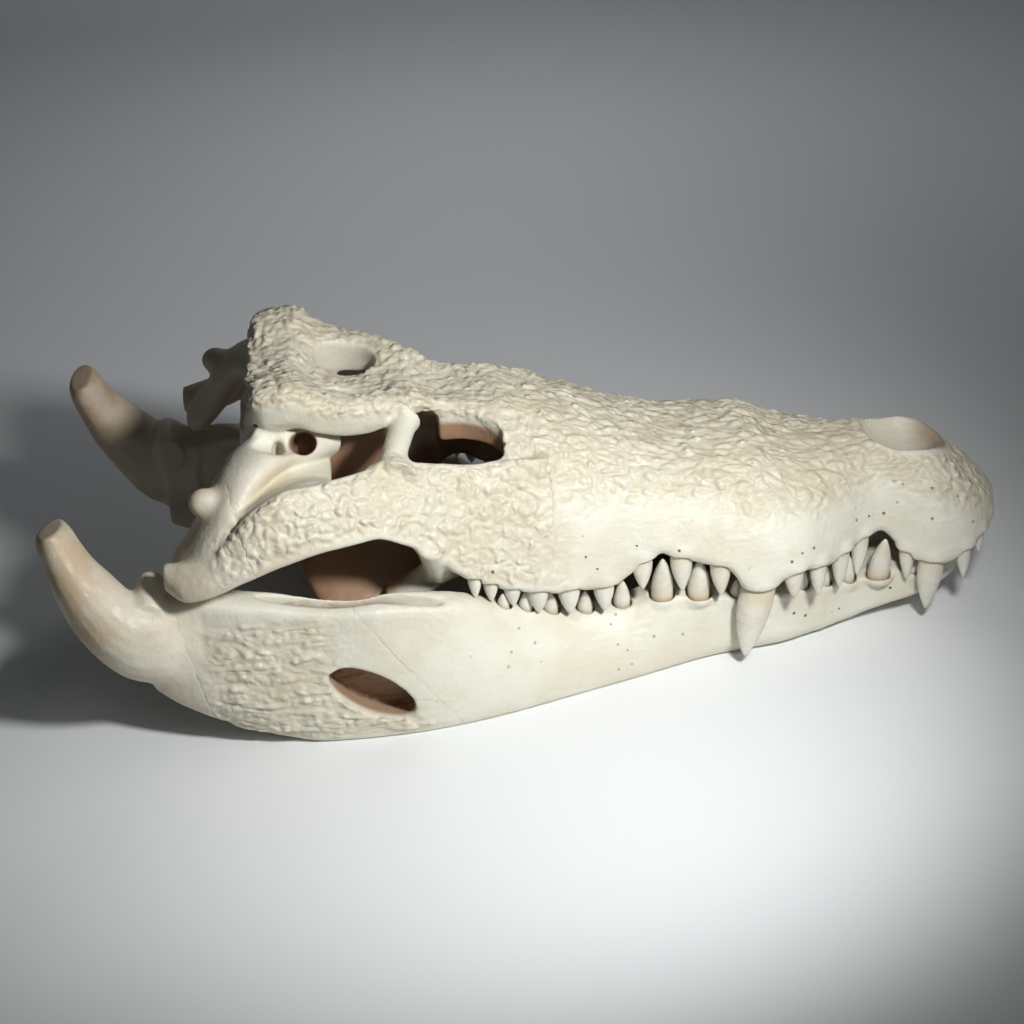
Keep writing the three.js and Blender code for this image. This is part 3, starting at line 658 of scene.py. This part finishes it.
def surface(name, skin, relief):
    """Blender mesh of a skin with its relief pushed out along the normals, placed in the row frame."""
    points, quads = skin
    mesh = bpy.data.meshes.new(name)
    count = len(quads)
    mesh.vertices.add(len(points))
    mesh.vertices.foreach_set("co", points.astype(np.float32).ravel())
    mesh.loops.add(4 * count)
    mesh.loops.foreach_set("vertex_index", quads.astype(np.int32).ravel())
    mesh.polygons.add(count)
    mesh.polygons.foreach_set("loop_start", np.arange(0, 4 * count, 4, dtype=np.int32))
    mesh.update(calc_edges=True)
    normals = np.empty(len(points) * 3, np.float32)
    mesh.vertex_normals.foreach_get("vector", normals)
    normals = normals.reshape(-1, 3).astype(float)
    if inward(points, quads):
        mesh.flip_normals()
        normals = -normals
    height, channels = relief(points, normals)
    moved = points + normals * height[:, None]
    moved = np.clip((moved - [MIDDLE, 0, 0]) * MM, *CAD_BOX)
    mesh.vertices.foreach_set("co", moved.astype(np.float32).ravel())
    for key, value in channels.items():
        mesh.attributes.new(key, "FLOAT", "POINT").data.foreach_set("value", value.astype(np.float32))
    mesh.polygons.foreach_set("use_smooth", np.ones(count, bool))
    mesh.update()
    piece = bpy.data.objects.new(name, mesh)
    bpy.context.scene.collection.objects.link(piece)
    return piece


def inward(points, quads):
    a, b, c, d = (points[quads[:, k]] for k in range(4))
    return (np.einsum("ij,ij->i", a, np.cross(b - a, c - a)) + np.einsum("ij,ij->i", a, np.cross(c - a, d - a))).sum() < 0


def seam_distance(points, seams, wave=1.6):
    """Signed distance to the nearest of some planes, made to wander like a suture."""
    wander = wave * (noise_at(points, 6) + 0.6 * noise_at(points, 2.4, 7))
    best = np.full(len(points), 50.0)
    for (normal, offset), where in seams:
        normal = np.array(normal, float)
        size = np.linalg.norm(normal)
        d = (points @ normal - offset) / size + wander
        d = np.where(where(points), d, 50.0)
        best = np.where(np.abs(d) < np.abs(best), d, best)
    return best


def stains(points, roots):
    """1 at the sockets of the teeth, fading out around them."""
    mask = np.zeros(len(points))
    for (x, y, z), _, _, radius in roots:
        off = np.hypot((points[:, 0] - x) / (radius + 2.6), (np.abs(points[:, 1]) + y) / (0.86 * radius + 2.6))
        mask = np.maximum(mask, smooth_step(-np.maximum(off, np.abs(points[:, 2] - z) / 7), -1, -0.7))
    return mask


def cranium_relief(points, normals):
    x, y, z = points.T
    side = np.abs(y)
    out = normals[:, 1] * np.sign(y)
    share = (z - margin_z(x)) / np.maximum(roof_z(x) - margin_z(x), 1)
    # rough fields: top of the snout, skull table and cheek bar
    snout = smooth_step(x, 222, 250) * smooth_step(share, 0.42, 0.74) * smooth_step(-x, -600, -585)
    naris = np.hypot((x - 536) / 33, y / 29)
    snout = snout * smooth_step(naris, 0.98, 1.12)
    table = smooth_step(z, rim_z(x) - 16, rim_z(x) - 8) * smooth_step(-x, -250, -228)
    table = table * smooth_step(side, 0, 1) * smooth_step(roof_half(x) + 6 - side, 0, 4) * smooth_step(x, 60, 66)
    middle = smooth_step(-side, -30, -18) * smooth_step(z, mid_z(x) - 6, mid_z(x) - 2) * smooth_step(-x, -250, -228)
    hole = np.hypot((x - 134) / 23, (side - 27) / 16)
    table = np.maximum(table, middle * smooth_step(x, 62, 68)) * smooth_step(hole, 0.92, 1.08)
    cheek = smooth_step(out, -0.2, 0.3) * smooth_step(x, 28, 60) * smooth_step(side - cheek_top_y(x), -12, -4)
    cheek = cheek * smooth_step(-x, -300, -245) * smooth_step(-z, -200, -193)
    cheek = cheek * smooth_step(z - cheek_low_z(x), 2, 9)
    rough = np.clip(np.maximum(np.maximum(snout, table), cheek), 0, 1)
    stretch = np.stack([0.62 * x + 0.28 * np.minimum(x - 262, 0), y, z], 1)
    big = blobs(stretch, 12.0, 1.0, 3.1)
    small = blobs(stretch, 6.0, 0.8, 9.7)
    swell = noise_at(points, 15, 2)
    height = rough * (2.3 * (big - 0.5) + 1.2 * (small - 0.45) + 0.8 * swell)
    lines = blobs(points * [0.35, 1, 1], 6.5, 1.4, 5.0)
    faint = 0.3 * noise_at(points, 14, 4) + 0.32 * (lines - 0.8) * smooth_step(x, 200, 240)
    height = height + (1 - rough) * faint
    # painted shade in the pits between the knobs of rough bone
    pit_shade = rough * np.clip(0.75 * (0.6 - big) + 0.45 * (0.5 - small), 0, 1)
    # painted shade on hidden and recessed parts, and smooth bone at the back
    drop = np.interp(side / snout_half(x), *np.transpose(SNOUT_SECTION + [(1.0, 0.95)]))
    skin_z = roof_z(x) - drop * (roof_z(x) - margin_z(x))
    depth = smooth_step(snout_half(x) - side, 5, 10) * smooth_step(skin_z - z, 6, 12) * smooth_step(x, 190, 200)
    depth = depth * smooth_step(naris, 0.9, 1.3)
    under = smooth_step(-side, -46, -36) * smooth_step(mid_z(x) - z, 8, 14) * smooth_step(x, 66, 90) * (x < 262)
    palate = smooth_step(-z, -126, -116) * smooth_step(-side, -88, -78) * smooth_step(x, 60, 80) * (x < 204)
    ear = smooth_step(-np.hypot(x - 103, z - 191 - 0.55 * (side - 60)), -11, -8) * smooth_step(-side, -80, -74)
    shade_and_stain = np.maximum(np.maximum(depth, under), np.maximum(palate, ear))
    opening = smooth_step(-hole, -1.05, -0.8) * smooth_step(rim_z(x) - z, 3, 12) * smooth_step(z, 170, 180)
    nostril = smooth_step(-naris, -0.98, -0.85) * (0.12 + 0.6 * smooth_step(x, 536, 560))
    shade_and_stain = np.maximum(shade_and_stain, np.maximum(0.5 * opening, nostril))
    # painted shadow, with some real staining, over the far rear of the skull
    shade_and_stain = np.maximum(shade_and_stain, 0.25 * smooth_step(y, 20, 60) * smooth_step(-x, -90, -50) * (1 - rough))
    # real stains round the tooth sockets
    shade_and_stain = np.maximum(shade_and_stain, 0.75 * stains(points, upper_roots()))
    seams = [
        (((1, 0, 0.4), 540), lambda p: p[:, 2] > 50),
        (((0, 1, 0.42), 47), lambda p: (p[:, 0] > 250) & (p[:, 0] < 492)),
        (((0, -1, 0.42), 47), lambda p: (p[:, 0] > 250) & (p[:, 0] < 492)),
        (((0, 1, 0), 0), lambda p: (p[:, 0] > 566) | (p[:, 0] < 100)),
        (((1, 0, 0.3), 110), lambda p: np.abs(p[:, 1]) > 110),
        (((1, 0, 0), 158), lambda p: np.abs(p[:, 1]) < 38),
    ]
    suture = seam_distance(points, seams)
    groove = 0.2 * np.exp(-((suture / 0.9) ** 2))
    bare = 0.5 * smooth_step(-x, -150, -60) * smooth_step(-z, -200, -190) * (1 - rough)
    pores = np.maximum(smooth_step(-share, -0.5, -0.15), 0.7 * smooth_step(x, 500, 540)) * smooth_step(x, 190, 230)
    pores = pores * (naris > 1.05)
    channels = {"pit_shade": pit_shade, "shade_and_stain": shade_and_stain, "suture": suture, "bare": bare}
    return height - groove, channels | {"rough": rough, "pores": pores * (1 - shade_and_stain)}


def jaw_relief(points, normals):
    x, y, z = points.T
    side = np.abs(y)
    out = smooth_step(normals[:, 1] * np.sign(y), 0.0, 0.35)
    rough = out * smooth_step(x, 16, 44) * smooth_step(np.interp(z, [0, 30, 62, 90], [190, 160, 118, 112]) - x, -14, 22)
    rough = rough * smooth_step(-z, -104, -92) * smooth_step(z, 1, 8)
    ridges = blobs(points * [0.2, 1, 1], 7.5, 0.9, 1.3)
    small = blobs(points * [0.5, 1, 1], 4.5, 0.8, 7.7)
    height = rough * (2.4 * (ridges - 0.5) + 1.0 * (small - 0.45) + 0.8 * noise_at(points, 15, 2))
    lines = blobs(points * [0.3, 1, 1], 8, 1.3, 5.0)
    faint = 0.3 * noise_at(points, 18, 4) + 0.28 * (lines - 0.8) * smooth_step(x, 0, 60)
    floor = smooth_step(z, 0.5, 3)
    height = (height + (1 - rough) * faint) * floor
    # painted shade in the pits between the ridges of rough bone
    pit_shade = rough * np.clip(0.5 * (0.6 - ridges) + 0.3 * (0.5 - small), 0, 1)
    # painted shade on the inner face of the jaw and in the pocket of the side opening
    inner = smooth_step(jaw_in_y(x) + 12 - side, 0, 8) * smooth_step(-normals[:, 2], -0.7, -0.4)
    inner = inner * smooth_step(x, 20, 60) * smooth_step(jaw_top_z(x) - z, 4, 12)
    lens_x, lens_z = x - 136, z - 38
    turn = math.radians(34)
    along_lens = (lens_x * math.cos(turn) - lens_z * math.sin(turn)) / 33
    across_lens = (lens_x * math.sin(turn) + lens_z * math.cos(turn)) / 15
    pocket = smooth_step(-np.hypot(along_lens, across_lens), -1.08, -0.98) * smooth_step(141 - side, 0, 6)
    shade_and_stain = np.maximum(inner, pocket * smooth_step(side, 100, 112))
    # real stains round the tooth sockets
    shade_and_stain = np.maximum(shade_and_stain, 0.75 * stains(points, lower_roots()))
    # painted shadow, with some real staining, over the rear of the far jaw
    shade_and_stain = np.maximum(shade_and_stain, 0.4 * (y > 0) * smooth_step(-x, -30, 30))
    seams = [
        (((1, 0, 0.7), 200), lambda p: p[:, 2] < 200),
        (((0.3, 0, 1), 80), lambda p: (p[:, 0] > 34) & (p[:, 0] < 190)),
        (((1, 0, 0.2), 32), lambda p: p[:, 2] < 200),
    ]
    suture = seam_distance(points, seams)
    groove = 0.2 * np.exp(-((suture / 0.9) ** 2)) * floor
    bare = 0.35 * smooth_step(-x, -50, 0) + 0.65 * smooth_step(-x, 15, 60)
    pores = smooth_step(x, 170, 260) * (0.45 + 0.55 * smooth_step(x, 380, 440)) * out
    channels = {"pit_shade": pit_shade, "shade_and_stain": shade_and_stain, "suture": suture, "bare": bare}
    return height - groove, channels | {"rough": rough, "pores": pores}


# ---------------------------------------------------------------- materials


def colour(r, g, b):
    """Display values of 0 to 255 as linear colour."""
    linear = [c / 12.92 if c <= 0.04045 else ((c + 0.055) / 1.055) ** 2.4 for c in (r / 255, g / 255, b / 255)]
    return (*linear, 1)


class Shader:
    def __init__(self, name):
        self.material = bpy.data.materials.new(name)
        self.material.use_nodes = True
        self.tree = self.material.node_tree
        self.surface = self.tree.nodes["Principled BSDF"]

    def add(self, kind, inputs=(), **settings):
        node = self.tree.nodes.new(kind)
        for key, value in settings.items():
            setattr(node, key, value)
        for key, value in dict(inputs).items():
            if isinstance(value, bpy.types.NodeSocket):
                self.tree.links.new(value, node.inputs[key])
            else:
                node.inputs[key].default_value = value
        return node

    def attribute(self, name):
        return self.add("ShaderNodeAttribute", attribute_name=name).outputs["Fac"]

    def noise(self, scale, detail=3.0, stretch=(1, 1, 1), warp=0.0):
        place = self.add("ShaderNodeTexCoord").outputs["Object"]
        mapped = self.add("ShaderNodeMapping", {"Vector": place, "Scale": stretch}).outputs[0]
        inputs = {"Vector": mapped, "Scale": scale, "Detail": detail, "Distortion": warp}
        return self.add("ShaderNodeTexNoise", inputs).outputs["Fac"]

    def worms(self, scale, stretch=(1, 1, 1), width=0.1):
        """Rounded ripples with narrow furrows between them: 0 in a furrow, 1 on a ripple."""
        level = self.noise(scale, 0.6, stretch, 0.7)
        return self.span(self.math("ABSOLUTE", self.math("SUBTRACT", level, 0.5)), 0.0, width)

    def domes(self, scale):
        """Small round knobs: 1 on their tops, 0 between them."""
        place = self.add("ShaderNodeTexCoord").outputs["Object"]
        cell = self.add("ShaderNodeTexVoronoi", {"Vector": place, "Scale": scale, "Smoothness": 0.6}, feature="SMOOTH_F1")
        return self.span(cell.outputs["Distance"], 0.55, 0.1)

    def spots(self, scale):
        place = self.add("ShaderNodeTexCoord").outputs["Object"]
        return self.add("ShaderNodeTexVoronoi", {"Vector": place, "Scale": scale})

    def span(self, value, low, high, to_low=0.0, to_high=1.0):
        node = self.add("ShaderNodeMapRange", {"Value": value, "From Min": low, "From Max": high, "To Min": to_low, "To Max": to_high})
        node.interpolation_type = "SMOOTHSTEP"
        return node.outputs["Result"]

    def math(self, operation, a, b=0.0):
        return self.add("ShaderNodeMath", {0: a, 1: b}, operation=operation).outputs[0]

    def mix(self, share, a, b):
        node = self.add("ShaderNodeMix", data_type="RGBA")
        sockets = {socket.identifier: socket for socket in node.inputs}
        for key, value in (("Factor_Float", share), ("A_Color", a), ("B_Color", b)):
            if isinstance(value, bpy.types.NodeSocket):
                self.tree.links.new(value, sockets[key])
            else:
                sockets[key].default_value = value
        return next(socket for socket in node.outputs if socket.identifier == "Result_Color")

    def finish(self, base, rough, bump, strength, depth):
        links = self.tree.links
        links.new(base, self.surface.inputs["Base Color"])
        links.new(rough, self.surface.inputs["Roughness"])
        node = self.add("ShaderNodeBump", {"Height": bump, "Strength": strength, "Distance": depth})
        links.new(node.outputs[0], self.surface.inputs["Normal"])
        return self.material


def bone_material():
    s = Shader("bone")
    pit_shade, shade_and_stain, rough = s.attribute("pit_shade"), s.attribute("shade_and_stain"), s.attribute("rough")
    base = s.mix(s.span(s.noise(26, 4), 0.38, 0.66), colour(217, 215, 200), colour(210, 205, 186))
    base = s.mix(s.math("MULTIPLY", s.attribute("bare"), s.span(s.noise(40, 3), 0.3, 0.6, 0.3, 1)), base, colour(190, 168, 138))
    ripple = s.math("MULTIPLY", s.domes(125), s.span(s.worms(72, (0.7, 1, 1), 0.17), 0, 1, 0.7, 1))
    # painted shade in the furrows between the ripples and in the pits of rough bone, mixed in as a darker brown
    furrow = s.math("MULTIPLY", s.math("SUBTRACT", 1.0, ripple), s.math("MULTIPLY", rough, 0.3))
    furrow = s.math("MAXIMUM", furrow, s.math("MULTIPLY", pit_shade, s.span(s.noise(90, 2), 0.2, 0.8, 0.35, 0.8)))
    base = s.mix(furrow, base, colour(176, 155, 112))
    # painted shade in hollows and on hidden parts, with real stains round the sockets, mixed in as brown
    base = s.mix(s.math("MULTIPLY", shade_and_stain, 0.9), base, s.mix(s.noise(30, 3), colour(112, 76, 48), colour(158, 116, 80)))
    # nerve holes: dimples in the bump, darkened with painted shade
    cell = s.spots(105)
    chosen = s.math("GREATER_THAN", s.add("ShaderNodeSeparateColor", {"Color": cell.outputs["Color"]}).outputs[0], 0.45)
    dot = s.math("MULTIPLY", s.span(cell.outputs["Distance"], 0.14, 0.08), chosen)
    dot = s.math("MULTIPLY", dot, s.attribute("pores"))
    base = s.mix(s.math("MULTIPLY", dot, 0.9), base, colour(104, 76, 48))
    line = s.math("MULTIPLY", s.span(s.math("ABSOLUTE", s.attribute("suture")), 0.5, 0.1), s.span(s.noise(35, 2), 0.42, 0.6))
    base = s.mix(s.math("MULTIPLY", line, 0.3), base, colour(160, 130, 92))
    gloss = s.span(s.noise(140, 2), 0.3, 0.7, 0.42, 0.6)
    # fine relief: worm-like ripples on rough bone, grain everywhere
    bare = s.math("SUBTRACT", 1.0, s.math("MULTIPLY", shade_and_stain, 0.9))
    ripple = s.math("MULTIPLY", ripple, s.math("ADD", s.math("MULTIPLY", s.math("MULTIPLY", rough, bare), 0.8), 0.06))
    grain = s.math("ADD", s.math("MULTIPLY", s.noise(420, 5), 0.22), s.math("MULTIPLY", s.noise(130, 4), 0.4))
    grain = s.math("ADD", grain, ripple)
    grain = s.math("SUBTRACT", grain, s.math("MULTIPLY", dot, 1.4))
    grain = s.math("SUBTRACT", grain, s.math("MULTIPLY", line, 0.2))
    return s.finish(base, gloss, grain, 0.8, 0.0016)


def tooth_material():
    s = Shader("tooth")
    root = s.attribute("root")
    base = s.mix(s.span(s.noise(60, 3), 0.35, 0.7), colour(218, 216, 204), colour(208, 203, 186))
    base = s.mix(s.span(root, 0.45, 1.0, 0.0, 0.6), base, colour(203, 178, 132))
    rough = s.span(s.noise(90, 2), 0.3, 0.7, 0.2, 0.36)
    lines = s.noise(90, 3, (9, 9, 0.8))
    return s.finish(base, rough, lines, 0.25, 0.0008)


def floor_material():
    s = Shader("floor")
    base = s.mix(s.noise(3, 2), colour(233, 236, 237), colour(236, 238, 239))
    return s.finish(base, s.span(s.noise(5, 1), 0, 1, 0.55, 0.6), s.noise(300, 1), 0.02, 0.0002)


# ---------------------------------------------------------------- pieces

CRANIUM_PAIRS = [
    "premaxilla", "maxilla", "lacrimal", "squamosal", "postorbital", "jugal", "quadratojugal", "quadrate",
    "ectopterygoid",
]
CRANIUM_SINGLE = ["nasals", "parietal", "frontal", "braincase", "pterygoid", "palatines"]
JAW_BONES = ["dentary", "surangular", "angular", "articular"]


def dress(piece, material, nodes=()):
    piece.data.materials.append(material)
    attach(piece, "root")
    if nodes:
        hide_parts(*nodes)


def make_cranium(bone):
    solid = build_cranium()
    values, first = solid.whole()
    piece = surface("cranium", skin_of(values, first), cranium_relief)
    nodes = [f"{name}_{side}" for name in CRANIUM_PAIRS for side in ("right", "left")]
    dress(piece, bone, nodes + CRANIUM_SINGLE)


def make_jaw(bone):
    solid = build_jaw()
    values, first = solid.right_only(0.25)
    points, quads = skin_of(values, first)
    for side, sign in (("right", 1), ("left", -1)):
        skin = points * [1, sign, 1], quads[:, ::sign]
        piece = surface(f"mandible_{side}", skin, jaw_relief)
        dress(piece, bone, [f"{name}_{side}" for name in JAW_BONES])


def make_teeth(name, roots, ivory):
    points, faces, root = [], [], []
    count = 0
    for root_of_one in roots:
        for sign in (1, -1):
            p, f = tooth_skin(*root_of_one)
            depth = np.append(np.repeat(1 - np.linspace(0, 1, 22), 20), [1, 0])
            p = p * [1, sign, 1]
            points.append(p)
            faces.append((f if sign > 0 else f[:, ::-1]).astype(int) + count)
            root.append(depth)
            count += len(p)
    mesh = bpy.data.meshes.new(name)
    placed = (np.vstack(points) - [MIDDLE, 0, 0]) * MM
    mesh.from_pydata(placed.tolist(), [], np.vstack(faces).tolist())
    mesh.attributes.new("root", "FLOAT", "POINT").data.foreach_set("value", np.concatenate(root).astype(np.float32))
    mesh.polygons.foreach_set("use_smooth", np.ones(len(mesh.polygons), bool))
    mesh.update()
    piece = bpy.data.objects.new(name, mesh)
    bpy.context.scene.collection.objects.link(piece)
    dress(piece, ivory)


# ---------------------------------------------------------------- camera, light and floor

CAMERA_TARGET = Vector((246.2 - MIDDLE, 0, 91.3)) * MM
CAMERA_DISTANCE = 1.6
CAMERA_YAW, CAMERA_HEIGHT, CAMERA_ROLL = 3.25, 29.12, -3.08
CAMERA_LENS, SENSOR = 76.92, 36


def make_camera():
    yaw, height, roll = (math.radians(a) for a in (CAMERA_YAW, CAMERA_HEIGHT, CAMERA_ROLL))
    ahead = Vector((math.sin(yaw) * math.cos(height), math.cos(yaw) * math.cos(height), -math.sin(height)))
    level = Vector((math.cos(yaw), -math.sin(yaw), 0))
    up = level.cross(ahead)
    right = level * math.cos(roll) + up * math.sin(roll)
    top = -level * math.sin(roll) + up * math.cos(roll)
    data = bpy.data.cameras.new("camera")
    data.lens, data.sensor_width, data.clip_end = CAMERA_LENS, SENSOR, 50
    camera = bpy.data.objects.new("camera", data)
    bpy.context.scene.collection.objects.link(camera)
    turn = Matrix((right, top, -ahead)).transposed().to_4x4()
    camera.matrix_world = Matrix.Translation(CAMERA_TARGET - ahead * CAMERA_DISTANCE) @ turn
    bpy.context.scene.camera = camera


def area_light(name, place, aim, size, watts, tint=(1, 1, 1)):
    data = bpy.data.lights.new(name, "AREA")
    data.shape, data.size, data.energy, data.color = "DISK", size, watts, tint
    light = bpy.data.objects.new(name, data)
    light.location = place
    light.rotation_euler = (Vector(aim) - Vector(place)).to_track_quat("-Z", "Y").to_euler()
    bpy.context.scene.collection.objects.link(light)


def make_stage():
    floor = bpy.data.meshes.new("floor")
    near, far, half, bend, top = -3.0, 2.1, 4.0, 0.5, 3.0
    profile = [(near, 0.0), (0.4, 0.0)]
    angles = np.linspace(0, np.pi / 2, 16)
    profile += [(far - bend + bend * math.sin(a), bend - bend * math.cos(a)) for a in angles] + [(far, top)]
    points = [(x, y, z) for y, z in profile for x in (-half, half)]
    faces = [(2 * i, 2 * i + 1, 2 * i + 3, 2 * i + 2) for i in range(len(profile) - 1)]
    floor.from_pydata(points, [], faces)
    floor.polygons.foreach_set("use_smooth", np.ones(len(faces), bool))
    piece = bpy.data.objects.new("floor", floor)
    bpy.context.scene.collection.objects.link(piece)
    piece.data.materials.append(floor_material())
    piece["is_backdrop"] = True
    key = bpy.data.lights.new("key", "SPOT")
    key.energy, key.shadow_soft_size, key.spot_size, key.spot_blend = 25.5, 0.05, math.radians(84), 1.0
    light = bpy.data.objects.new("key", key)
    light.location = (0.24, -0.55, 0.6)
    light.rotation_euler = (Vector((-0.14, 0.03, 0.0)) - light.location).to_track_quat("-Z", "Y").to_euler()
    bpy.context.scene.collection.objects.link(light)
    area_light("fill", (0.85, -1.15, 0.8), (0.25, -0.45, 0), 0.8, 1.6)
    area_light("back", (0.1, 1.05, 0.85), (0.1, 1.1, 0), 0.5, 1.7)
    world = bpy.data.worlds.new("world")
    world.use_nodes = True
    world.node_tree.nodes["Background"].inputs[0].default_value = (0.85, 0.9, 0.95, 1)
    world.node_tree.nodes["Background"].inputs[1].default_value = 0.05
    bpy.context.scene.world = world
    bpy.context.scene.view_settings.view_transform = "Standard"


make_camera()
make_stage()
bone, ivory = bone_material(), tooth_material()
make_cranium(bone)
make_jaw(bone)
make_teeth("teeth_upper", list(upper_roots()), ivory)
make_teeth("teeth_lower", list(lower_roots()), ivory)

boxes = {"cad": CAD_BOX, "visual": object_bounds()}
{key: [list(corner) for corner in box] for key, box in boxes.items()}
